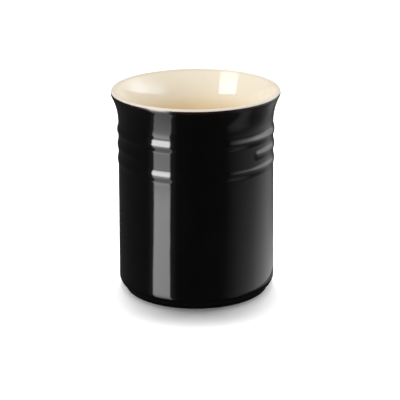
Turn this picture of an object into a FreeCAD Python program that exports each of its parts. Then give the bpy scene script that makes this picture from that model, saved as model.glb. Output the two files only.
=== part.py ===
import FreeCAD, Part
import math
import os

from FreeCAD import Vector

# Utensil crock: one stoneware pot, flared at the rim, ringed by three shallow ribs below the flare,
# and dressed in three glaze coats. Millimetres, +Z up, origin on the table under the middle of the foot.

# Outer form
HEIGHT = 150.0
BODY_DIAMETER = 114.6  # over the glaze, just above the heel, where the wall is widest
DRAFT_ANGLE = 0.54  # degrees by which the wall leans in on its way up to the flare
FLARE_HEIGHT = 24.1  # from the top of the lip down to where the wall starts to open
FLARE_OVERHANG = 5.0  # how far the rim stands out past the wall
LIP_FACE_RADIUS = 4.0  # rounded outer face of the lip
LIP_CROWN_RADIUS = 1.0  # rounded top edge of the lip
LIP_TURN_ANGLE = 28.0  # degrees round the face of the lip, from level outwards, where the crown starts

# Inside
WALL_THICKNESS = 5.0  # clay with both coats
INNER_FLARE_HEIGHT = 33.0  # the inside opens from lower down than the outside
FLOOR_THICKNESS = 6.0  # clay with both coats
INNER_CORNER_RADIUS = 10.0

# Heel and foot
HEEL_RADIUS = 8.0
HEEL_SWEEP = 60.0  # degrees of the heel arc below level, down to the foot
FOOT_HEIGHT = 2.9  # clay of the foot below the heel
FOOT_STEP = 0.5  # the foot stands this far inside the end of the heel
FOOT_LAND = 5.0  # width of the flat ring that the crock stands on
FOOT_EDGE_RADIUS = 0.3  # bare clay, up to where the glaze ends
RECESS_STRAIGHT = 0.6  # upright part of the recess wall under the base
RECESS_COVE = 1.5

# Glaze
GLAZE = 0.4
GLAZE_LINE_ANGLE = 15.0  # degrees round the face of the lip, from level outwards, where two coats meet
SLEEVE_DEPTH = 1.0  # the outside is drawn this deep, and the clay is cut from it

# Ribs: an ogee in section, listed from the lip downwards
RIB_HEIGHTS = (0.87, 0.65, 0.6)
RIB_HALF_WIDTH = 5.0
RIB_SPACING = 1.0  # plain wall between neighbouring ribs
RIB_CREST_SHARE = 0.42  # share of the half width that the rounded crest takes
CLAY_RIB_SHARE = 0.68  # the clay rib under the glaze is narrower, and the glaze fills its corners
CLAY_RIB_ROOT = 0.5  # depth to which the clay of the broken rib runs into the wall
BROKEN_RIB = 1  # the middle rib stops on both sides of a plain front
PLAIN_FRONT_ANGLE = 90.0  # degrees between the two tips of the broken rib
TIP_STEPS = 4  # sections that round off each tip

FRONT_AZIMUTH = -90.0
FULL_TURN = 360.0
TOUCHING = 1e-6


def at(radius, z):
    """A point of a section, drawn in the plane y = 0."""
    return Vector(radius, 0, z)


def turned(angle):
    """The direction in a section at that many degrees above level outwards."""
    return at(math.cos(math.radians(angle)), math.sin(math.radians(angle)))


# Levels, radii and centres worked out from the sizes above
out = turned(DRAFT_ANGLE)
up = turned(DRAFT_ANGLE + 90)
heel_level = FOOT_HEIGHT + (HEEL_RADIUS - GLAZE) * math.sin(math.radians(HEEL_SWEEP))
heel_centre = at(BODY_DIAMETER / 2 - HEEL_RADIUS, heel_level)
heel_top = heel_centre + out * HEEL_RADIUS
foot_radius = (heel_centre + turned(-HEEL_SWEEP) * HEEL_RADIUS).x - FOOT_STEP


def wall_point(z, depth=0.0):
    """The point at height z of the straight outer wall, moved in square to the wall by depth."""
    return heel_top + up * ((z - heel_top.z) / up.z) - out * depth


neck = wall_point(HEIGHT - FLARE_HEIGHT)
inner_neck = wall_point(HEIGHT - INNER_FLARE_HEIGHT, WALL_THICKNESS)
crown_from_face = turned(LIP_TURN_ANGLE) * (LIP_FACE_RADIUS - LIP_CROWN_RADIUS)
face_centre = at(neck.x + FLARE_OVERHANG - LIP_FACE_RADIUS, HEIGHT - LIP_CROWN_RADIUS - crown_from_face.z)
crown_centre = face_centre + crown_from_face


def tangent_radius(start, centre, radius):
    """Radius of the arc from the wall at start that touches a round: outside it, or inside if negative."""
    way = centre - start
    return (way.dot(way) - radius**2) / (2 * (way.dot(out) + radius))


flare_radius = tangent_radius(neck, face_centre, LIP_FACE_RADIUS)
flare_centre = neck + out * flare_radius
inner_flare_radius = tangent_radius(inner_neck, crown_centre, -LIP_CROWN_RADIUS)
inner_flare_centre = inner_neck + out * inner_flare_radius

# Directions from the centre of the lip's face: the end of the flare, the glaze line and the turn to the crown
face_start = flare_centre - face_centre
glaze_line = turned(GLAZE_LINE_ANGLE)
face_end = turned(LIP_TURN_ANGLE)

# The inner corner is tangent to the inner wall and to the floor
recess_depth = FOOT_EDGE_RADIUS + RECESS_STRAIGHT + RECESS_COVE
floor_level = recess_depth + FLOOR_THICKNESS
corner_level = floor_level + INNER_CORNER_RADIUS
corner_top = wall_point(corner_level + out.z * (INNER_CORNER_RADIUS + WALL_THICKNESS), WALL_THICKNESS)
corner_centre = corner_top - out * INNER_CORNER_RADIUS

# The ribs hang below the neck, one pitch apart
rib_pitch = 2 * RIB_HALF_WIDTH + RIB_SPACING
rib_levels = [neck.z - up.z * (RIB_HALF_WIDTH + i * rib_pitch) for i in range(len(RIB_HEIGHTS))]
tip_angle = math.degrees(RIB_HALF_WIDTH / wall_point(rib_levels[BROKEN_RIB]).x)


def line(start, end):
    return Part.makeLine(start, end)


def arc(start, middle, end):
    return Part.Arc(start, middle, end).toShape()


def arc_about(centre, radius, start, end):
    """The shorter arc about centre, from the direction of start to the direction of end."""
    first = (start - centre).normalize()
    last = (end - centre).normalize()
    middle = (first + last).normalize()
    return arc(centre + first * radius, centre + middle * radius, centre + last * radius)


def chained(points_and_edges):
    """Edges in order, with a straight run wherever two neighbours don't meet. A bare point is a corner."""
    edges = []
    here = None
    for item in points_and_edges:
        is_point = isinstance(item, Vector)
        start = item if is_point else item.valueAt(item.FirstParameter)
        if here is not None and (start - here).Length > TOUCHING:
            edges.append(line(here, start))
        if not is_point:
            edges.append(item)
        here = start if is_point else item.valueAt(item.LastParameter)
    return edges


def section(points_and_edges):
    """A closed face in the plane y = 0."""
    first = points_and_edges[0]
    start = first if isinstance(first, Vector) else first.valueAt(first.FirstParameter)
    return Part.Face(Part.Wire(chained(points_and_edges + [start])))


def spin(face, start_angle=0.0, angle=FULL_TURN):
    """Revolve a section about the crock's axis, starting at an azimuth."""
    return placed(face, start_angle).revolve(Vector(0, 0, 0), Vector(0, 0, 1), angle)


def placed(shape, azimuth):
    """A copy of a section or outline, turned about the crock's axis."""
    copy = shape.copy()
    copy.rotate(Vector(0, 0, 0), Vector(0, 0, 1), azimuth)
    return copy


def heel_arc(depth, upwards):
    """The heel, set in by depth, between the wall and the step of the foot."""
    ends = [heel_centre + turned(-HEEL_SWEEP), heel_centre + out]
    if not upwards:
        ends.reverse()
    return arc_about(heel_centre, HEEL_RADIUS - depth, ends[0], ends[1])


def foot_side(depth, upwards):
    """Corners of the glazed side of the foot, set in by depth: the end of the glaze and the step."""
    step_level = heel_level - (HEEL_RADIUS - depth) * math.sin(math.radians(HEEL_SWEEP))
    corners = [at(foot_radius - depth, FOOT_EDGE_RADIUS), at(foot_radius - depth, step_level)]
    return corners if upwards else corners[::-1]


def flare_arc(depth, upwards):
    """The outer flare, set in by depth, between the neck and the face of the lip."""
    ends = [neck, face_centre]
    if not upwards:
        ends.reverse()
    return arc_about(flare_centre, flare_radius + depth, ends[0], ends[1])


def inner_flare_arc(depth, upwards):
    """The inner flare, let into the clay by depth, between the inner neck and the crown of the lip."""
    ends = [inner_neck, crown_centre]
    if not upwards:
        ends.reverse()
    return arc_about(inner_flare_centre, inner_flare_radius - depth, ends[0], ends[1])


def lip_face(depth, start, end):
    """The rounded face of the lip, set in by depth, between two directions from its centre."""
    return arc_about(face_centre, LIP_FACE_RADIUS - depth, face_centre + start, face_centre + end)


def lip_crown(depth, inwards):
    """The crown of the lip, set in by depth, between its face and the inner flare."""
    ends = [crown_centre + turned(LIP_TURN_ANGLE), crown_centre * 2 - inner_flare_centre]
    if not inwards:
        ends.reverse()
    return arc_about(crown_centre, LIP_CROWN_RADIUS - depth, ends[0], ends[1])


def corner_arc(depth, upwards):
    """The corner between the inner wall and the floor, let into the clay by depth."""
    ends = [corner_centre - at(0, 1), corner_top]
    if not upwards:
        ends.reverse()
    return arc_about(corner_centre, INNER_CORNER_RADIUS + depth, ends[0], ends[1])


def ogee_radii(height, half_width):
    """Slope where the curves meet, crest radius and fillet radius of a rib's outline."""
    slope = 2 * math.atan(height / half_width)
    whole = half_width / math.sin(slope)
    return slope, RIB_CREST_SHARE * whole, (1 - RIB_CREST_SHARE) * whole


def ogee_height(distance, height, half_width):
    """Height of the outline at a distance from the crest."""
    slope, crest_radius, fillet_radius = ogee_radii(height, half_width)
    if distance < crest_radius * math.sin(slope):
        return height - crest_radius + math.sqrt(crest_radius**2 - distance**2)
    return fillet_radius - math.sqrt(fillet_radius**2 - (half_width - distance) ** 2)


def glazed_rib(level, height, half_width):
    """Outline of a rib on the glaze: a fillet, the rounded crest and a fillet, or straight at height 0."""
    foot = wall_point(level)
    low = foot - up * half_width
    high = foot + up * half_width
    if height == 0:
        turn = up * (RIB_CREST_SHARE * half_width)
        return [line(low, foot - turn), line(foot - turn, foot + turn), line(foot + turn, high)]
    slope, crest_radius, fillet_radius = ogee_radii(height, half_width)
    crest = foot + out * height
    crest_centre = crest - out * crest_radius
    low_centre = low + out * fillet_radius
    high_centre = high + out * fillet_radius
    low_fillet = arc_about(low_centre, fillet_radius, low, crest_centre)
    high_fillet = arc_about(high_centre, fillet_radius, crest_centre, high)
    low_turn = low_fillet.valueAt(low_fillet.LastParameter)
    high_turn = high_fillet.valueAt(high_fillet.FirstParameter)
    return [low_fillet, arc(low_turn, crest, high_turn), high_fillet]


def clay_rib(level, height):
    """Outline of a rib in the clay: one arc standing on the wall."""
    foot = wall_point(level, GLAZE)
    side = up * (CLAY_RIB_SHARE * RIB_HALF_WIDTH)
    return arc(foot - side, foot + out * height, foot + side)


def sleeve_section(broken_height, broken_half_width):
    """The outside down to the sleeve's depth, with the broken rib at a given size."""
    sizes = [(height, RIB_HALF_WIDTH) for height in RIB_HEIGHTS]
    sizes[BROKEN_RIB] = (broken_height, broken_half_width)
    outline = foot_side(0, True) + [heel_arc(0, True)]
    for level, size in reversed(list(zip(rib_levels, sizes))):
        outline += glazed_rib(level, *size)
    outline += [flare_arc(0, True), lip_face(0, face_start, glaze_line)]
    outline += [lip_face(SLEEVE_DEPTH, glaze_line, face_start), flare_arc(SLEEVE_DEPTH, False)]
    outline.append(heel_arc(SLEEVE_DEPTH, False))
    return section(outline + foot_side(SLEEVE_DEPTH, False))


def tip_size(step):
    """Height and half width of the broken rib, a number of steps along its rounded tip."""
    along = RIB_HALF_WIDTH * step / TIP_STEPS
    height = ogee_height(along, RIB_HEIGHTS[BROKEN_RIB], RIB_HALF_WIDTH)
    return height, math.sqrt(RIB_HALF_WIDTH**2 - along**2)


def sleeve():
    """The outside as a thick sleeve: ribbed round the back, plain at the front, with rounded rib tips."""
    sections = [sleeve_section(*tip_size(step)) for step in range(TIP_STEPS)]
    plain = sleeve_section(0, tip_size(TIP_STEPS - 1)[1])
    sections.append(plain)
    plain_start = FRONT_AZIMUTH - PLAIN_FRONT_ANGLE / 2
    plain_end = FRONT_AZIMUTH + PLAIN_FRONT_ANGLE / 2
    ribbed_angle = FULL_TURN - PLAIN_FRONT_ANGLE - 2 * tip_angle
    pieces = [spin(plain, plain_start, PLAIN_FRONT_ANGLE)]
    for tip, way in ((plain_start, -1), (plain_end, 1)):
        for step in range(TIP_STEPS):
            azimuths = [tip + way * tip_angle * (1 - s / TIP_STEPS) for s in (step, step + 1)]
            outlines = [placed(sections[step].OuterWire, azimuths[0])]
            outlines.append(placed(sections[step + 1].OuterWire, azimuths[1]))
            pieces.append(Part.makeLoft(outlines, True, True))
    ribbed = spin(sections[0], plain_end + tip_angle, ribbed_angle)
    return ribbed.multiFuse(pieces).removeSplitter()


def broken_clay_rib():
    """The clay of the broken rib: an arc section, rooted in the wall, that stops where the tips start."""
    height = RIB_HEIGHTS[BROKEN_RIB]
    half_width = CLAY_RIB_SHARE * RIB_HALF_WIDTH
    radius = (half_width**2 + height**2) / (2 * height)
    foot = wall_point(rib_levels[BROKEN_RIB], GLAZE)
    root = foot - out * CLAY_RIB_ROOT
    side = up * math.sqrt(radius**2 - (radius - height - CLAY_RIB_ROOT) ** 2)
    face = section([arc(root - side, foot + out * height, root + side)])
    start = FRONT_AZIMUTH + PLAIN_FRONT_ANGLE / 2 + tip_angle
    return spin(face, start, FULL_TURN - PLAIN_FRONT_ANGLE - 2 * tip_angle)


def foot_radii():
    """Outer and inner radius of the foot's clay ring, and radius of the flat under the base."""
    outer = foot_radius - GLAZE
    inner = outer - 2 * FOOT_EDGE_RADIUS - FOOT_LAND
    return outer, inner, inner - RECESS_COVE


def foot_outline():
    """From the middle of the underside, round the foot ring, to the step below the heel."""
    outer, inner, flat = foot_radii()
    edge = FOOT_EDGE_RADIUS
    cove_centre = at(flat, recess_depth - RECESS_COVE)
    inner_edge = at(inner + edge, edge)
    outer_edge = at(outer - edge, edge)
    return [
        at(0, recess_depth + GLAZE),
        at(flat, recess_depth + GLAZE),
        arc_about(cove_centre, RECESS_COVE, cove_centre + at(0, 1), cove_centre + at(1, 0)),
        arc_about(inner_edge, edge, inner_edge - at(1, 0), inner_edge - at(0, 1)),
        arc_about(outer_edge, edge, outer_edge - at(0, 1), outer_edge + at(1, 0)),
        at(outer, FOOT_HEIGHT),
    ]


def make_stoneware_body():
    outline = foot_outline() + [heel_arc(GLAZE, True)]
    for index in reversed(range(len(RIB_HEIGHTS))):
        if index != BROKEN_RIB:
            outline.append(clay_rib(rib_levels[index], RIB_HEIGHTS[index]))
    outline += [flare_arc(GLAZE, True), lip_face(GLAZE, face_start, face_end), lip_crown(GLAZE, True)]
    outline += [inner_flare_arc(GLAZE, False), corner_arc(GLAZE, False), at(0, floor_level - GLAZE)]
    return spin(section(outline)).fuse(broken_clay_rib())


def make_outer_glaze(body):
    return sleeve().cut(body)


def make_inner_glaze():
    outline = [lip_face(0, glaze_line, face_end), lip_crown(0, True), inner_flare_arc(0, False)]
    outline += [corner_arc(0, False), at(0, floor_level), at(0, floor_level - GLAZE), corner_arc(GLAZE, True)]
    outline += [inner_flare_arc(GLAZE, True), lip_crown(GLAZE, False), lip_face(GLAZE, face_end, glaze_line)]
    return spin(section(outline))


def make_base_glaze():
    return Part.makeCylinder(foot_radii()[2], GLAZE, at(0, recess_depth))


def main():
    os.makedirs("parts", exist_ok=True)
    body = make_stoneware_body()
    nodes = {
        "stoneware_body": body,
        "outer_glaze": make_outer_glaze(body),
        "inner_glaze": make_inner_glaze(),
        "base_glaze": make_base_glaze(),
    }
    for name, shape in nodes.items():
        shape.exportStep(f"parts/{name}.step")
        print(name, "solids", len(shape.Solids), "cm3", round(shape.Volume / 1000, 3))
    print("rim diameter", round(2 * (neck.x + FLARE_OVERHANG), 2), "flare radius", round(flare_radius, 2))


main()
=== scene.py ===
import math

import bpy
from mathutils import Matrix, Vector


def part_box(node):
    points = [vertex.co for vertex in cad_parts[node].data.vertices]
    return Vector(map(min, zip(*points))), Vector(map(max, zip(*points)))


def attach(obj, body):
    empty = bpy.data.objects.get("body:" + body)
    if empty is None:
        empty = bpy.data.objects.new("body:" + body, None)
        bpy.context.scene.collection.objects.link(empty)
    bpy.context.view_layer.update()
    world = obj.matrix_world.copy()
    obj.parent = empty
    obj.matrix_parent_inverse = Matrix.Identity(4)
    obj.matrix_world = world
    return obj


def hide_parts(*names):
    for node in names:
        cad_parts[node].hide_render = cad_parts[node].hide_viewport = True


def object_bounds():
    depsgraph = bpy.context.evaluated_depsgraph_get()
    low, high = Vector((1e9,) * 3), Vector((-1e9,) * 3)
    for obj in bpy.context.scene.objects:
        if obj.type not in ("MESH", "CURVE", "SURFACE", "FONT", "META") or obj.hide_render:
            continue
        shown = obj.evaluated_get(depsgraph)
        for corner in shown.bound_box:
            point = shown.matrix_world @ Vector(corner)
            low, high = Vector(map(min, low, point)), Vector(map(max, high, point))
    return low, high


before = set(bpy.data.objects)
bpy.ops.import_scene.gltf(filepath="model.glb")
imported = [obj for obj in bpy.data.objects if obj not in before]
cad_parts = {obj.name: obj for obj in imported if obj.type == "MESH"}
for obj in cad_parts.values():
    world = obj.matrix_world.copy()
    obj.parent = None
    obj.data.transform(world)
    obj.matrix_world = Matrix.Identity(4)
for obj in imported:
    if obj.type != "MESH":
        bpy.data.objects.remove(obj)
cad_box = [list(corner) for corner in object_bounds()]

# A gloss black stoneware crock with a cream inside. The clay and the coat under the base keep their solids.
# The two coats that show are turned here from the same section, finely enough for clean reflections.
# Lengths are in metres and angles in degrees.

MM = 0.001
BODY = "root"

# Sizes of the section
HEIGHT = cad_box[1][2]
WALL_RADIUS = 57.3 * MM
DRAFT_ANGLE = 0.54
FLARE_HEIGHT = 24.1 * MM
FLARE_OVERHANG = 5.0 * MM
LIP_FACE_RADIUS = 4.0 * MM
LIP_CROWN_RADIUS = 1.0 * MM
LIP_TURN_ANGLE = 28.0
WALL_THICKNESS = 5.0 * MM
INNER_FLARE_HEIGHT = 33.0 * MM
INNER_CORNER_RADIUS = 10.0 * MM
HEEL_RADIUS = 8.0 * MM
HEEL_SWEEP = 60.0
FOOT_HEIGHT = 2.9 * MM
FOOT_STEP = 0.5 * MM
GLAZE = 0.4 * MM
GLAZE_LINE_ANGLE = 15.0
RIB_HEIGHTS = (0.87 * MM, 0.65 * MM, 0.6 * MM)
RIB_HALF_WIDTH = 5.0 * MM
RIB_SPACING = 1.0 * MM
RIB_CREST_SHARE = 0.42
BROKEN_RIB = 1
PLAIN_FRONT_ANGLE = 90.0
FRONT_AZIMUTH = -90.0

# How finely the coats are turned. Their hidden backs have rows that lie further apart.
SEGMENTS = 480
RIB_ROW = 0.3 * MM
WALL_ROW = 2.0 * MM
HEEL_STEP = 2.5
FLARE_STEP = 0.8
FACE_STEP = 3.0
CROWN_STEP = 9.0
CORNER_STEP = 6.0
POOL_ROWS = 6
BACK_COARSER = 4
SAME_POINT = 0.01 * MM
ON_AXIS = 0.001 * MM

# Camera, fitted to the photograph's outline
CAMERA_DISTANCE = 1.127
CAMERA_ELEVATION = 17.965
CAMERA_ROLL = -0.244
LENS = 138.04
AIM_RIGHT = 2.78 * MM
AIM_DOWN = 9.437 * MM

# Stage
FLOOR_RADIUS = 4.0
FLOOR_DROP = 0.05 * MM
FLOOR_ALBEDO = 0.95
BACKDROP_HEIGHT = 4.0
# Painted shadow: a dark ring, seen only in reflections, for the shaded floor round the foot
CONTACT_SHADE_WIDTH = 9.0 * MM
CONTACT_SHADE_DROP = 0.1 * MM
CONTACT_SHADE_LEVEL = 0.025
ROUND_SIDES = 96
STUDIO_RADIUS = 10.0
STUDIO_SEGMENTS = 64
STUDIO_RINGS = 32
WHITE = (1.0, 1.0, 1.0)

# Noises: swings in a metre, detail and, where it isn't the usual one, roughness.
# Most of a noise's values lie in the span.
NOISE_SPAN = (0.3, 0.7)
GLOSS_NOISE = (40, 3)
RAGGED_NOISE = (900, 3)
BLACK_NOISE = (60, 3)
BLACK_RIPPLE = (70, 1)
BLACK_PEEL = (700, 2)
CREAM_NOISE = (35, 3)
CREAM_RIPPLE = (60, 1)
CLAY_NOISE = (180, 5, 0.7)
SPECK_NOISE = (1400, 1)
GRIT_NOISE = (2500, 4, 0.7)

# Black glaze. It thins to a rougher brown from below the glaze line on the lip to just past it.
BLACKS = ((0.0008, 0.0008, 0.0007), (0.0018, 0.0016, 0.0014))
BLACK_ROUGHNESS = (0.03, 0.07)
BLACK_IOR = 1.65
BLACK_BUMP = 0.12
PEEL_SHARE = 0.05
THIN_BROWN = (0.02, 0.011, 0.007)
THIN_BELOW = 2.4 * MM
THIN_ABOVE = 0.3 * MM
THIN_RAGGED = 0.5 * MM
THIN_ROUGHNESS = 0.2

# Cream glaze. Between two depths below the rim it turns pale on the way up: painted light near the rim over
# painted shade lower inside.
# Between two others it wears thin over the lip.
SHADED_DEEP_CREAMS = ((0.8, 0.65, 0.42), (0.83, 0.68, 0.46))
LIT_PALE_CREAMS = ((0.82, 0.755, 0.62), (0.84, 0.78, 0.65))
LIT_PALE_DEPTHS = (30.0 * MM, 16.0 * MM)
CREAM_ROUGHNESS = (0.05, 0.1)
CREAM_IOR = 1.42
CREAM_BUMP = 0.1
LIP_CREAM = (0.72, 0.655, 0.56)
LIP_DEPTHS = (2.0 * MM, 0.9 * MM)
LIP_ROUGHNESS = 0.5
RIPPLE_DEPTH = 0.25 * MM

# Bare clay
CLAYS = ((0.52, 0.42, 0.3), (0.68, 0.58, 0.44))
CLAY_ROUGHNESS = (0.75, 0.95)
CLAY_IOR = 1.5
CLAY_BUMP = 0.4
GRIT_DEPTH = 0.1 * MM
SPECK_BROWN = (0.16, 0.09, 0.05)
SPECK_SPAN = (0.68, 0.74)

# What the glaze mirrors, by azimuth from the camera, right of it positive, and by elevation above level.
# Below level are the table and the images in it. Each list holds (angle, value) stops.

# A strip light on the left: the azimuths of its two edges and its level, all by elevation
STRIP_LEFT = (
    (-64, -91), (-43, -73), (-30, -67.5), (-21, -67.7), (-20, -67.2), (-18.5, -65.4), (-17, -64.4),
    (-1, -65.5), (12, -66), (25, -68.5), (38, -73.5), (50, -84), (55, -93),
)
STRIP_RIGHT = (
    (-64, -51.5), (-43, -41), (-30, -38.5), (-20.5, -39.7), (-18.5, -39.3), (-17, -38.4),
    (-5, -37.5), (10, -37.5), (25, -38.5), (40, -41.5), (55, -49), (61, -54.5),
)
STRIP_BY_ELEVATION = (
    (-72, 0.6), (-50, 1), (-30, 1.5), (-23.5, 2.1), (-20.8, 3.2), (-18.7, 3.4), (-17, 3.6),
    (-16.5, 3), (-16.2, 2.5), (-15.4, 2.2), (-13.5, 2.1), (-12.2, 2.6), (-10.4, 5.5),
    (-7, 8), (-2, 9.5), (4, 11), (22, 10.5), (28, 6.5), (57, 5.5), (62, 0),
)
STRIP_SOFT = 1.5
STRIP_HALO = 12.0
STRIP_HALO_LEVEL = 0.12

# A soft panel on the right, whose lower edge hangs lower towards the back
PANEL_BY_AZIMUTH = (
    (48, 0), (60, 0.6), (80, 1.5), (97, 2.8), (108, 2.6), (122, 2), (136, 1.2), (145, 0.8), (155, 0),
)
PANEL_BY_ELEVATION = ((-8, 0), (-3, 0.25), (1, 0.6), (6, 0.8), (13, 1), (18, 0.85), (30, 0.7), (37, 0))
PANEL_DROP = ((85, 0), (105, 4), (125, 8), (145, 10))

# The panel's image in the table, up to its highest level
TABLE_BY_AZIMUTH = (
    (44, 0), (59, 0.21), (89, 0.57), (115, 1.15), (130, 1.2), (140, 0.85), (150, 0.45), (165, 0),
)
TABLE_BY_ELEVATION = (
    (-50, 0.04), (-36, 0.04), (-29.7, 0.06), (-26.5, 0.1), (-24.1, 0.16), (-21.6, 0.25),
    (-20, 0.32), (-18.5, 0.38), (-17.5, 0.42), (-16.5, 0.43), (-15, 0.4), (-7, 0.4), (-3, 0),
)
TABLE_MOST = 1.1

# A faint card on the table at the right, which slants round with elevation
CARD_BY_AZIMUTH = (
    (48, 0), (54, 0.1), (60, 0.17), (66, 0.2), (72, 0.2), (80, 0.16), (88, 0.09), (96, 0),
)
CARD_BY_ELEVATION = ((-60, 0.6), (-48, 0.75), (-40, 1), (-32, 1), (-29, 0.75), (-26, 0.35), (-23, 0))
CARD_SLANT = ((-60, 45), (-50, 30), (-46, 18), (-41, 6), (-36, 0))

# A pale part of the table behind on the right, which lights the edge of the flare
EDGE_BY_AZIMUTH = ((115, 0), (125, 0.12), (135, 0.25), (145, 0.6), (165, 0.7), (178, 0))
EDGE_BY_ELEVATION = ((-50, 0.15), (-38, 0.25), (-30, 0.5), (-24, 0.35), (-20, 0))

# A top light that leans to the back, full inside the first angle and gone past the second, and a dim room
TOP_LEAN = 20.0
TOP_REACH = (30.0, 46.0)
TOP_LEVEL = 0.6
ROOM_BY_AZIMUTH = ((-180, 0.05), (-130, 0.06), (-60, 0.05), (0, 0.025), (60, 0.04), (180, 0.05))

# Lights close by: name, distance from the axis, tint, level by height in mm, and level by azimuth.
# They are the lit table at the right, and the panel as the inside mirrors it.
NEAR_CARDS = (
    (
        "glow",
        75.0 * MM,
        WHITE,
        ((0, 0.64), (9, 0.5), (38, 0.26), (62, 0.1), (87, 0)),
        (
            (20, 0), (35, 0.14), (48, 0.42), (58.5, 0.75), (63, 1), (73, 1.15), (82, 1.2), (100, 1),
            (130, 0),
        ),
    ),
    (
        "near_panel",
        200.0 * MM,
        (0.58, 0.75, 1.0),
        ((168, 0), (172, 1), (205, 1), (232, 0.45), (262, 0)),
        (
            (46, 0), (55, 2), (62, 4.2), (69, 5.2), (85, 6), (103, 5.8), (115, 4.2), (125, 2), (140, 0),
        ),
    ),
)

# The light itself, as levels on a surface that faces it.
# There is an even sky, and the crock and the floor have lamps of their own.
# A lamp has its name, level, azimuth from the camera, elevation, and the angle that it fills.
SKY_LEVEL = 0.4
CROCK_LAMPS = (
    ("canopy", 0.57, 0.0, 90.0, 150.0),
    ("strip_lamp", 0.38, -52.0, 28.0, 40.0),
    ("panel_lamp", 0.24, 105.0, 25.0, 40.0),
)
FLOOR_LAMPS = (
    ("back_lamp", 0.52, 180.0, 79.5, 13.0),
    ("left_lamp", 1.6, -140.0, 16.5, 71.0),
    ("right_lamp", 1.6, 140.0, 16.5, 71.0),
)

# Sockets of a mix node when it mixes colours
MIX_SHARE = 0
MIX_FIRST = 6
MIX_SECOND = 7
MIX_RESULT = 2


def turned(angle):
    """The direction in the section at that many degrees above level outwards."""
    return Vector((math.cos(math.radians(angle)), math.sin(math.radians(angle))))


def angle_of(direction):
    return math.degrees(math.atan2(direction.y, direction.x))


out = turned(DRAFT_ANGLE)
up = turned(DRAFT_ANGLE + 90)
heel_level = FOOT_HEIGHT + (HEEL_RADIUS - GLAZE) * math.sin(math.radians(HEEL_SWEEP))
heel_centre = Vector((WALL_RADIUS - HEEL_RADIUS, heel_level))
heel_top = heel_centre + out * HEEL_RADIUS
heel_end = heel_centre + turned(-HEEL_SWEEP) * HEEL_RADIUS
foot_radius = heel_end.x - FOOT_STEP
glaze_end_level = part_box("outer_glaze")[0][2]
floor_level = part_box("inner_glaze")[0][2] + GLAZE


def wall_point(z, depth=0.0):
    """The point at height z of the straight outer wall, moved in square to the wall by depth."""
    return heel_top + up * ((z - heel_top.y) / up.y) - out * depth


neck = wall_point(HEIGHT - FLARE_HEIGHT)
inner_neck = wall_point(HEIGHT - INNER_FLARE_HEIGHT, WALL_THICKNESS)
crown_from_face = turned(LIP_TURN_ANGLE) * (LIP_FACE_RADIUS - LIP_CROWN_RADIUS)
face_level = HEIGHT - LIP_CROWN_RADIUS - crown_from_face.y
face_centre = Vector((neck.x + FLARE_OVERHANG - LIP_FACE_RADIUS, face_level))
crown_centre = face_centre + crown_from_face


def flare_radius(start, centre, radius):
    """Radius of the arc that leaves the wall at start and touches a round.

    It touches from outside, or holds the round inside it if the round's radius is negative.
    """
    lip = centre - start
    return (lip.dot(lip) - radius**2) / (2 * (lip.dot(out) + radius))


outer_flare = flare_radius(neck, face_centre, LIP_FACE_RADIUS)
inner_flare = flare_radius(inner_neck, crown_centre, -LIP_CROWN_RADIUS)
outer_flare_centre = neck + out * outer_flare
inner_flare_centre = inner_neck + out * inner_flare
corner_top = wall_point(floor_level + INNER_CORNER_RADIUS, WALL_THICKNESS)
corner_centre = corner_top - out * INNER_CORNER_RADIUS
rib_pitch = 2 * RIB_HALF_WIDTH + RIB_SPACING
rib_levels = [neck.y - up.y * (RIB_HALF_WIDTH + i * rib_pitch) for i in range(len(RIB_HEIGHTS))]
tip_angle = math.degrees(RIB_HALF_WIDTH / wall_point(rib_levels[BROKEN_RIB]).x)


def arc(centre, radius, start, end, step):
    """Points round centre from one angle to another, about step degrees apart."""
    count = max(2, math.ceil(abs(end - start) / step))
    return [centre + turned(start + (end - start) * i / count) * radius for i in range(count + 1)]


def straight(start, end, step):
    count = max(1, math.ceil((end - start).length / step))
    return [start.lerp(end, i / count) for i in range(count + 1)]


def pooled(start, corner, end):
    """A rounded inner corner, where glaze pools."""
    points = []
    for i in range(POOL_ROWS + 1):
        share = i / POOL_ROWS
        points.append(start.lerp(corner, share).lerp(corner.lerp(end, share), share))
    return points


def ogee_height(distance, height):
    """Height of a rib's outline at a distance from its crest: a rounded crest that runs out in a fillet."""
    if distance >= RIB_HALF_WIDTH:
        return 0.0
    slope = 2 * math.atan(height / RIB_HALF_WIDTH)
    whole = RIB_HALF_WIDTH / math.sin(slope)
    crest_radius = RIB_CREST_SHARE * whole
    fillet_radius = whole - crest_radius
    if distance < crest_radius * math.sin(slope):
        return height - crest_radius + math.sqrt(crest_radius**2 - distance**2)
    return fillet_radius - math.sqrt(fillet_radius**2 - (RIB_HALF_WIDTH - distance) ** 2)


def with_ribs(point):
    """A point of the plain wall, raised by the ribs that run all the way round."""
    raised = point.copy()
    for index, (level, height) in enumerate(zip(rib_levels, RIB_HEIGHTS)):
        if index != BROKEN_RIB:
            raised += out * ogee_height(abs(point.y - level) / up.y, height)
    return raised


def tidy_rows(rows):
    """The rows without a point that repeats the one before it."""
    kept = [rows[0]]
    for row in rows[1:]:
        if (row - kept[-1]).length > SAME_POINT:
            kept.append(row)
    return kept


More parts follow.
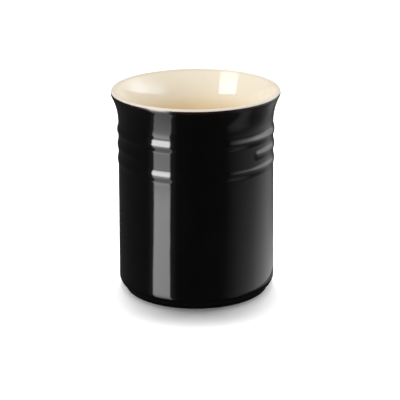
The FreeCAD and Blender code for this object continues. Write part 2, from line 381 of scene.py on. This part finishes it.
def outer_rows(depth, coarse=1):
    """The outside from the foot up to the glaze line, set in by depth."""
    step_level = heel_level - (HEEL_RADIUS - depth) * math.sin(math.radians(HEEL_SWEEP))
    foot = foot_radius - depth
    corner = Vector((foot, step_level))
    heel_start = heel_centre + turned(-HEEL_SWEEP) * (HEEL_RADIUS - depth)
    rows = [Vector((foot, glaze_end_level))]
    rows += pooled(corner - Vector((0, FOOT_STEP)), corner, heel_start)
    rows += arc(heel_centre, HEEL_RADIUS - depth, -HEEL_SWEEP, DRAFT_ANGLE, HEEL_STEP * coarse)
    ribs_low = wall_point(rib_levels[-1] - up.y * RIB_HALF_WIDTH, depth)
    ribs_high = wall_point(neck.y, depth)
    rows += straight(wall_point(heel_top.y, depth), ribs_low, WALL_ROW * coarse)
    rows += [with_ribs(point) for point in straight(ribs_low, ribs_high, RIB_ROW * coarse)]
    flare_end = angle_of(face_centre - outer_flare_centre)
    flare_start = DRAFT_ANGLE + 180
    rows += arc(outer_flare_centre, outer_flare + depth, flare_start, flare_end % 360, FLARE_STEP * coarse)
    face_start = angle_of(outer_flare_centre - face_centre)
    rows += arc(face_centre, LIP_FACE_RADIUS - depth, face_start, GLAZE_LINE_ANGLE, FACE_STEP)
    return tidy_rows(rows)


def inner_rows(depth, coarse=1):
    """The inside from the glaze line, over the lip, down the wall and across the floor to the middle."""
    rows = arc(face_centre, LIP_FACE_RADIUS - depth, GLAZE_LINE_ANGLE, LIP_TURN_ANGLE, FACE_STEP)
    crown_end = angle_of(crown_centre - inner_flare_centre)
    rows += arc(crown_centre, LIP_CROWN_RADIUS - depth, LIP_TURN_ANGLE, crown_end, CROWN_STEP)
    flare_end = DRAFT_ANGLE + 180
    rows += arc(inner_flare_centre, inner_flare - depth, crown_end, flare_end, FLARE_STEP * coarse)
    wall_low = corner_centre + out * (INNER_CORNER_RADIUS + depth)
    wall_high = inner_neck + out * depth
    rows += straight(wall_high, wall_low, WALL_ROW * coarse)
    rows += arc(corner_centre, INNER_CORNER_RADIUS + depth, DRAFT_ANGLE, -90, CORNER_STEP)
    floor_edge = Vector((corner_centre.x, floor_level - depth))
    rows += straight(floor_edge, Vector((0, floor_level - depth)), WALL_ROW * coarse)
    return tidy_rows(rows)


def broken_rib_height(point, azimuth):
    """How far the broken rib raises the wall there: nothing at the front, a dome at its tips."""
    level = rib_levels[BROKEN_RIB]
    along = abs(point.y - level) / up.y
    if along >= RIB_HALF_WIDTH:
        return 0.0
    from_front = abs((azimuth - FRONT_AZIMUTH + 180) % 360 - 180)
    short_of_full = max(0.0, PLAIN_FRONT_ANGLE / 2 + tip_angle - from_front)
    across = math.radians(short_of_full) * point.x
    return ogee_height(math.hypot(along, across), RIB_HEIGHTS[BROKEN_RIB])


def plain(point, azimuth):
    return 0.0


def ring(point, raise_by):
    """Corners of one turn of a section's point, or one corner on the axis."""
    if point.x < ON_AXIS:
        return [Vector((0, 0, point.y))]
    corners = []
    for i in range(SEGMENTS):
        azimuth = 360 * i / SEGMENTS
        raised = point + out * raise_by(point, azimuth)
        turn = math.radians(azimuth)
        corners.append(Vector((raised.x * math.cos(turn), raised.x * math.sin(turn), raised.y)))
    return corners


def turned_piece(name, rows, sharp_rows, raise_by):
    """A closed shell of revolution whose section is the closed loop of rows."""
    corners = []
    rings = []
    for row in rows:
        turn = ring(row, raise_by)
        first = len(corners)
        corners += turn
        rings.append([first + (i % len(turn)) for i in range(SEGMENTS)])
    faces = []
    for low, high in zip(rings, rings[1:] + rings[:1]):
        if low[0] == low[1] and high[0] == high[1]:
            continue
        for i in range(SEGMENTS):
            j = (i + 1) % SEGMENTS
            faces.append(list(dict.fromkeys((low[i], low[j], high[j], high[i]))))
    mesh = bpy.data.meshes.new(name)
    mesh.from_pydata(corners, [], faces)
    mesh.update()
    mesh.polygons.foreach_set("use_smooth", [True] * len(mesh.polygons))
    sharp_rings = [set(rings[i]) for i in sharp_rows]
    for edge in mesh.edges:
        ends = set(edge.vertices)
        edge.use_edge_sharp = any(ends <= sharp for sharp in sharp_rings)
    piece = bpy.data.objects.new(name, mesh)
    bpy.context.scene.collection.objects.link(piece)
    return piece


def shell_of(name, face_rows, back_rows, raise_by=plain):
    """A coat with a fine face and a plainer back, and sharp edges where the two meet."""
    rows = face_rows + back_rows[::-1]
    last_face = len(face_rows) - 1
    return turned_piece(name, rows, (0, last_face, last_face + 1, len(rows) - 1), raise_by)


def add_node(tree, kind, inputs=(), **settings):
    """A shader node with its settings, and its inputs given as values or as sockets to link."""
    node = tree.nodes.new(kind)
    for key, value in settings.items():
        setattr(node, key, value)
    for key, value in dict(inputs).items():
        if isinstance(value, bpy.types.NodeSocket):
            tree.links.new(value, node.inputs[key])
        else:
            node.inputs[key].default_value = value
    return node


def math_node(tree, operation, first, second=0.0):
    return add_node(tree, "ShaderNodeMath", {0: first, 1: second}, operation=operation).outputs[0]


def rise(tree, value, low, high, start=0.0, end=1.0):
    """A smooth step from start to end while value goes from low to high."""
    inputs = {"Value": value, "From Min": low, "From Max": high, "To Min": start, "To Max": end}
    return add_node(tree, "ShaderNodeMapRange", inputs, interpolation_type="SMOOTHSTEP").outputs[0]


def between(tree, value, stops):
    """A number that follows (place, number) stops in a straight line from each to the next."""
    total = stops[0][1]
    for (low, start), (high, end) in zip(stops, stops[1:]):
        inputs = {"Value": value, "From Min": low, "From Max": high, "To Min": 0.0, "To Max": end - start}
        part = add_node(tree, "ShaderNodeMapRange", inputs).outputs[0]
        total = math_node(tree, "ADD", total, part)
    return total


def noise(tree, place, scale, detail, roughness=0.5):
    inputs = {"Vector": place, "Scale": scale, "Detail": detail, "Roughness": roughness}
    return add_node(tree, "ShaderNodeTexNoise", inputs).outputs["Fac"]


def colour(tone):
    return (*tone, 1.0)


def clouded(tree, cloud, tones):
    """A colour that drifts from one tone to another with a noise."""
    node = add_node(tree, "ShaderNodeValToRGB", {"Fac": cloud})
    for element, place, tone in zip(node.color_ramp.elements, NOISE_SPAN, tones):
        element.position = place
        element.color = colour(tone)
    return node.outputs["Color"]


def mixed(tree, share, first, second):
    """A colour mixed from two, by share."""
    inputs = {MIX_SHARE: share, MIX_FIRST: first, MIX_SECOND: second}
    return add_node(tree, "ShaderNodeMix", inputs, data_type="RGBA").outputs[MIX_RESULT]


def rougher(tree, place, usual, where, more):
    """A roughness that varies slowly in its usual range, and more of it where another number is high."""
    gloss = rise(tree, noise(tree, place, *GLOSS_NOISE), *NOISE_SPAN, *usual)
    return math_node(tree, "ADD", gloss, math_node(tree, "MULTIPLY", where, more))


def bumped(tree, height, strength, distance):
    inputs = {"Height": height, "Strength": strength, "Distance": distance}
    return add_node(tree, "ShaderNodeBump", inputs).outputs[0]


def object_place(tree):
    return add_node(tree, "ShaderNodeTexCoord").outputs["Object"]


def axes_of(tree, vector):
    return add_node(tree, "ShaderNodeSeparateXYZ", {"Vector": vector}).outputs


def new_material(name):
    material = bpy.data.materials.new(name)
    material.use_nodes = True
    tree = material.node_tree
    tree.nodes.clear()
    return material, tree


def finish_material(tree, shader):
    add_node(tree, "ShaderNodeOutputMaterial", {"Surface": shader.outputs[0]})


def principled(tree, base, roughness, ior, normal):
    inputs = {"Base Color": base, "Roughness": roughness, "IOR": ior, "Normal": normal}
    return add_node(tree, "ShaderNodeBsdfPrincipled", inputs)


def emission(tree, level, tint=WHITE):
    return add_node(tree, "ShaderNodeEmission", {"Color": colour(tint), "Strength": level})


def black_glaze():
    """Gloss black glaze: a slow ripple, a trace of orange peel, and brown where it thins at the lip."""
    material, tree = new_material("black_glaze")
    place = object_place(tree)
    glaze_line = face_centre.y + LIP_FACE_RADIUS * math.sin(math.radians(GLAZE_LINE_ANGLE))
    ragged = math_node(tree, "MULTIPLY", noise(tree, place, *RAGGED_NOISE), THIN_RAGGED)
    ragged_height = math_node(tree, "ADD", axes_of(tree, place)["Z"], ragged)
    thin = rise(tree, ragged_height, glaze_line - THIN_BELOW, glaze_line + THIN_ABOVE)
    body = clouded(tree, noise(tree, place, *BLACK_NOISE), BLACKS)
    base = mixed(tree, thin, body, colour(THIN_BROWN))
    roughness = rougher(tree, place, BLACK_ROUGHNESS, thin, THIN_ROUGHNESS)
    peel = math_node(tree, "MULTIPLY", noise(tree, place, *BLACK_PEEL), PEEL_SHARE)
    surface = math_node(tree, "ADD", noise(tree, place, *BLACK_RIPPLE), peel)
    normal = bumped(tree, surface, BLACK_BUMP, RIPPLE_DEPTH)
    finish_material(tree, principled(tree, base, roughness, BLACK_IOR, normal))
    return material


def cream_glaze():
    """Gloss cream glaze: clouded, with painted shade that makes it deeper low down and painted light that
    makes it paler towards the rim, thin and duller over the lip.
    """
    material, tree = new_material("cream_glaze")
    place = object_place(tree)
    height = axes_of(tree, place)["Z"]
    cloud = noise(tree, place, *CREAM_NOISE)
    # Painted light and shade: paler near the rim, deeper lower inside
    lit_near_rim = rise(tree, height, *[HEIGHT - depth for depth in LIT_PALE_DEPTHS])
    on_lip = rise(tree, height, *[HEIGHT - depth for depth in LIP_DEPTHS])
    body = mixed(tree, lit_near_rim, clouded(tree, cloud, SHADED_DEEP_CREAMS), clouded(tree, cloud, LIT_PALE_CREAMS))
    base = mixed(tree, on_lip, body, colour(LIP_CREAM))
    roughness = rougher(tree, place, CREAM_ROUGHNESS, on_lip, LIP_ROUGHNESS)
    normal = bumped(tree, noise(tree, place, *CREAM_RIPPLE), CREAM_BUMP, RIPPLE_DEPTH)
    finish_material(tree, principled(tree, base, roughness, CREAM_IOR, normal))
    return material


def bare_stoneware():
    """Fired clay without glaze: buff, matt and finely gritty, with small iron specks."""
    material, tree = new_material("bare_stoneware")
    place = object_place(tree)
    clay = clouded(tree, noise(tree, place, *CLAY_NOISE), CLAYS)
    speck = rise(tree, noise(tree, place, *SPECK_NOISE), *SPECK_SPAN)
    base = mixed(tree, speck, clay, colour(SPECK_BROWN))
    grit = noise(tree, place, *GRIT_NOISE)
    roughness = rise(tree, grit, *NOISE_SPAN, *CLAY_ROUGHNESS)
    normal = bumped(tree, grit, CLAY_BUMP, GRIT_DEPTH)
    finish_material(tree, principled(tree, base, roughness, CLAY_IOR, normal))
    return material


def dress(piece, material):
    """Give a piece or a CAD node one material."""
    piece.data.materials.clear()
    piece.data.materials.append(material)


def make_crock():
    black = black_glaze()
    cream = cream_glaze()
    outer_back = outer_rows(GLAZE, BACK_COARSER)
    inner_back = inner_rows(GLAZE, BACK_COARSER)
    outside = shell_of("outer_glaze_coat", outer_rows(0), outer_back, broken_rib_height)
    inside = shell_of("inner_glaze_coat", inner_rows(0), inner_back)
    for piece, node, material, slot in (
        (outside, "outer_glaze", black, "black_glaze"),
        (inside, "inner_glaze", cream, "cream_glaze"),
    ):
        dress(piece, material)
        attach(piece, BODY)
        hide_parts(node)
    for node, material in (("stoneware_body", bare_stoneware()), ("base_glaze", black)):
        dress(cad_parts[node], material)
    return [outside, inside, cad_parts["stoneware_body"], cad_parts["base_glaze"]]


def hide_from(piece, *rays):
    """Keep a piece out of sight of some kinds of rays."""
    for kind in rays:
        setattr(piece, f"visible_{kind}", False)


def show_in_reflections_only(piece, material):
    """A piece that glows in reflections, but lights nothing and isn't seen by itself."""
    material.cycles.emission_sampling = "NONE"
    dress(piece, material)
    hide_from(piece, "camera", "diffuse", "transmission", "shadow")


def add_disc(name, radius, drop):
    """A flat disc that lies a little below the table's level."""
    bpy.ops.mesh.primitive_circle_add(
        vertices=ROUND_SIDES, radius=radius, fill_type="NGON", location=(0, 0, -drop)
    )
    disc = bpy.context.object
    disc.name = name
    return disc


def add_tube(name, radius, low, high):
    """An open round wall between two heights."""
    bpy.ops.mesh.primitive_cylinder_add(
        vertices=ROUND_SIDES,
        radius=radius,
        depth=high - low,
        end_fill_type="NOTHING",
        location=(0, 0, (low + high) / 2),
    )
    tube = bpy.context.object
    tube.name = name
    return tube


def make_floor():
    """A white floor that takes the shadow."""
    floor = add_disc("floor", FLOOR_RADIUS, FLOOR_DROP)
    material, tree = new_material("floor")
    white = colour([FLOOR_ALBEDO * part for part in WHITE])
    finish_material(tree, add_node(tree, "ShaderNodeBsdfDiffuse", {"Color": white}))
    dress(floor, material)
    hide_from(floor, "glossy", "diffuse")
    return floor


def make_backdrop():
    """A white wall round the stage, seen by the camera alone, so the studio's light passes it."""
    backdrop = add_tube("backdrop", FLOOR_RADIUS, -FLOOR_DROP, BACKDROP_HEIGHT - FLOOR_DROP)
    material, tree = new_material("backdrop")
    finish_material(tree, emission(tree, 1.0))
    dress(backdrop, material)
    hide_from(backdrop, "diffuse", "glossy", "transmission", "shadow")


def make_contact_shade():
    """A painted shadow: a dark ring round the foot, seen only in reflections, that stands for the shaded
    floor the heel mirrors.
    """
    # Painted shadow: a dim glowing disc that the heel mirrors in place of the floor in the crock's shade
    contact_shade = add_disc("contact_shade", WALL_RADIUS + CONTACT_SHADE_WIDTH, CONTACT_SHADE_DROP)
    material, tree = new_material("contact_shade")
    finish_material(tree, emission(tree, CONTACT_SHADE_LEVEL))
    show_in_reflections_only(contact_shade, material)


def azimuth_of(tree, way):
    """Degrees round from the camera of a direction."""
    axes = axes_of(tree, way)
    towards = math_node(tree, "MULTIPLY", axes["Y"], -1.0)
    return math_node(tree, "DEGREES", math_node(tree, "ARCTAN2", axes["X"], towards))


def elevation_of(tree, way):
    """Degrees above level of a direction of length 1."""
    return math_node(tree, "DEGREES", math_node(tree, "ARCSINE", axes_of(tree, way)["Z"]))


def patch_level(tree, across, along, by_across, by_along):
    """A soft patch of light from its two profiles."""
    return math_node(tree, "MULTIPLY", between(tree, across, by_across), between(tree, along, by_along))


def strip_level(tree, azimuth, elevation):
    """The strip light with its faint halo."""
    past_left = math_node(tree, "SUBTRACT", azimuth, between(tree, elevation, STRIP_LEFT))
    past_right = math_node(tree, "SUBTRACT", azimuth, between(tree, elevation, STRIP_RIGHT))
    inside = rise(tree, past_left, -STRIP_SOFT, STRIP_SOFT)
    inside = math_node(tree, "MULTIPLY", inside, rise(tree, past_right, -STRIP_SOFT, STRIP_SOFT, 1.0, 0.0))
    halo = rise(tree, past_left, -STRIP_HALO, 0.0, 0.0, STRIP_HALO_LEVEL)
    halo = math_node(tree, "MULTIPLY", halo, rise(tree, past_right, 0.0, STRIP_HALO, 1.0, 0.0))
    strip = math_node(tree, "MULTIPLY", inside, between(tree, elevation, STRIP_BY_ELEVATION))
    return math_node(tree, "ADD", strip, halo)


def panel_level(tree, azimuth, elevation):
    """The soft panel, with its image in the table and what else lies on the table there."""
    hung = math_node(tree, "ADD", elevation, between(tree, azimuth, PANEL_DROP))
    panel = patch_level(tree, azimuth, hung, PANEL_BY_AZIMUTH, PANEL_BY_ELEVATION)
    table = patch_level(tree, azimuth, elevation, TABLE_BY_AZIMUTH, TABLE_BY_ELEVATION)
    table = math_node(tree, "MINIMUM", table, TABLE_MOST)
    slanted = math_node(tree, "SUBTRACT", azimuth, between(tree, elevation, CARD_SLANT))
    card = patch_level(tree, slanted, elevation, CARD_BY_AZIMUTH, CARD_BY_ELEVATION)
    edge = patch_level(tree, azimuth, elevation, EDGE_BY_AZIMUTH, EDGE_BY_ELEVATION)
    low = math_node(tree, "ADD", table, math_node(tree, "ADD", card, edge))
    return math_node(tree, "ADD", panel, low)


def top_level(tree, way):
    """The round, soft top light."""
    lean = math.radians(TOP_LEAN)
    middle = Vector((0, math.sin(lean), math.cos(lean)))
    near, far = [math.cos(math.radians(angle)) for angle in TOP_REACH]
    dot = add_node(tree, "ShaderNodeVectorMath", {0: way, 1: middle}, operation="DOT_PRODUCT")
    return rise(tree, dot.outputs["Value"], far, near, 0.0, TOP_LEVEL)


def studio_level(tree, way):
    """How bright the studio looks in one direction: strip light, soft panel, top light and dim room."""
    azimuth = azimuth_of(tree, way)
    elevation = elevation_of(tree, way)
    strip = strip_level(tree, azimuth, elevation)
    panel = panel_level(tree, azimuth, elevation)
    room = between(tree, azimuth, ROOM_BY_AZIMUTH)
    dim = math_node(tree, "ADD", top_level(tree, way), room)
    return math_node(tree, "ADD", math_node(tree, "ADD", strip, panel), dim)


def make_studio():
    """A dome round the stage that holds the lights the glaze mirrors."""
    bpy.ops.mesh.primitive_uv_sphere_add(
        segments=STUDIO_SEGMENTS, ring_count=STUDIO_RINGS, radius=STUDIO_RADIUS
    )
    studio = bpy.context.object
    studio.name = "studio"
    material, tree = new_material("studio")
    place = object_place(tree)
    way = add_node(tree, "ShaderNodeVectorMath", {0: place}, operation="NORMALIZE").outputs["Vector"]
    finish_material(tree, emission(tree, studio_level(tree, way)))
    show_in_reflections_only(studio, material)


def make_card(name, radius, tint, by_height, by_azimuth):
    """A clear round card that holds a light close by the crock."""
    low = by_height[0][0] * MM
    high = by_height[-1][0] * MM
    card = add_tube(name, radius, low, high)
    material, tree = new_material(name)
    place = object_place(tree)
    above_table = math_node(tree, "ADD", axes_of(tree, place)["Z"], (low + high) / 2)
    height = math_node(tree, "DIVIDE", above_table, MM)
    level = patch_level(tree, azimuth_of(tree, place), height, by_azimuth, by_height)
    light = emission(tree, level, tint)
    clear = add_node(tree, "ShaderNodeBsdfTransparent")
    shader = add_node(tree, "ShaderNodeAddShader", {0: light.outputs[0], 1: clear.outputs[0]})
    finish_material(tree, shader)
    show_in_reflections_only(card, material)


def make_sky():
    """An even, dim, white sky."""
    world = bpy.data.worlds.new("sky")
    bpy.context.scene.world = world
    world.use_nodes = True
    background = world.node_tree.nodes["Background"]
    background.inputs["Color"].default_value = colour(WHITE)
    background.inputs["Strength"].default_value = SKY_LEVEL


def make_lamps(lamps, receivers):
    """Soft lamps for some pieces alone. The glaze mirrors the studio and none of these."""
    lit = bpy.data.collections.new(f"lit_by_{lamps[0][0]}")
    for piece in receivers:
        lit.objects.link(piece)
    for name, level, azimuth, elevation, spread in lamps:
        data = bpy.data.lights.new(name, "SUN")
        data.energy = level * math.pi
        data.angle = math.radians(spread)
        lamp = bpy.data.objects.new(name, data)
        bpy.context.scene.collection.objects.link(lamp)
        lamp.rotation_euler = (math.radians(90 - elevation), 0, math.radians(azimuth))
        lamp.visible_glossy = False
        lamp.light_linking.receiver_collection = lit


def make_camera():
    data = bpy.data.cameras.new("camera")
    data.lens = LENS
    camera = bpy.data.objects.new("camera", data)
    bpy.context.scene.collection.objects.link(camera)
    elevation = math.radians(CAMERA_ELEVATION)
    middle = Vector((0, 0, HEIGHT / 2))
    back = Vector((0, -math.cos(elevation), math.sin(elevation)))
    down = Vector((0, -math.sin(elevation), -math.cos(elevation)))
    place = middle + back * CAMERA_DISTANCE
    aim = middle + Vector((AIM_RIGHT, 0, 0)) + down * AIM_DOWN
    turn = (aim - place).to_track_quat("-Z", "Y").to_matrix().to_4x4()
    roll = Matrix.Rotation(math.radians(CAMERA_ROLL), 4, "Z")
    camera.matrix_world = Matrix.Translation(place) @ turn @ roll
    bpy.context.scene.camera = camera


crock = make_crock()
floor = make_floor()
make_backdrop()
make_contact_shade()
for card in NEAR_CARDS:
    make_card(*card)
make_studio()
make_sky()
make_lamps(CROCK_LAMPS, crock)
make_lamps(FLOOR_LAMPS, [floor])
make_camera()
bpy.context.scene.view_settings.view_transform = "Standard"
bpy.context.scene.cycles.use_denoising = True
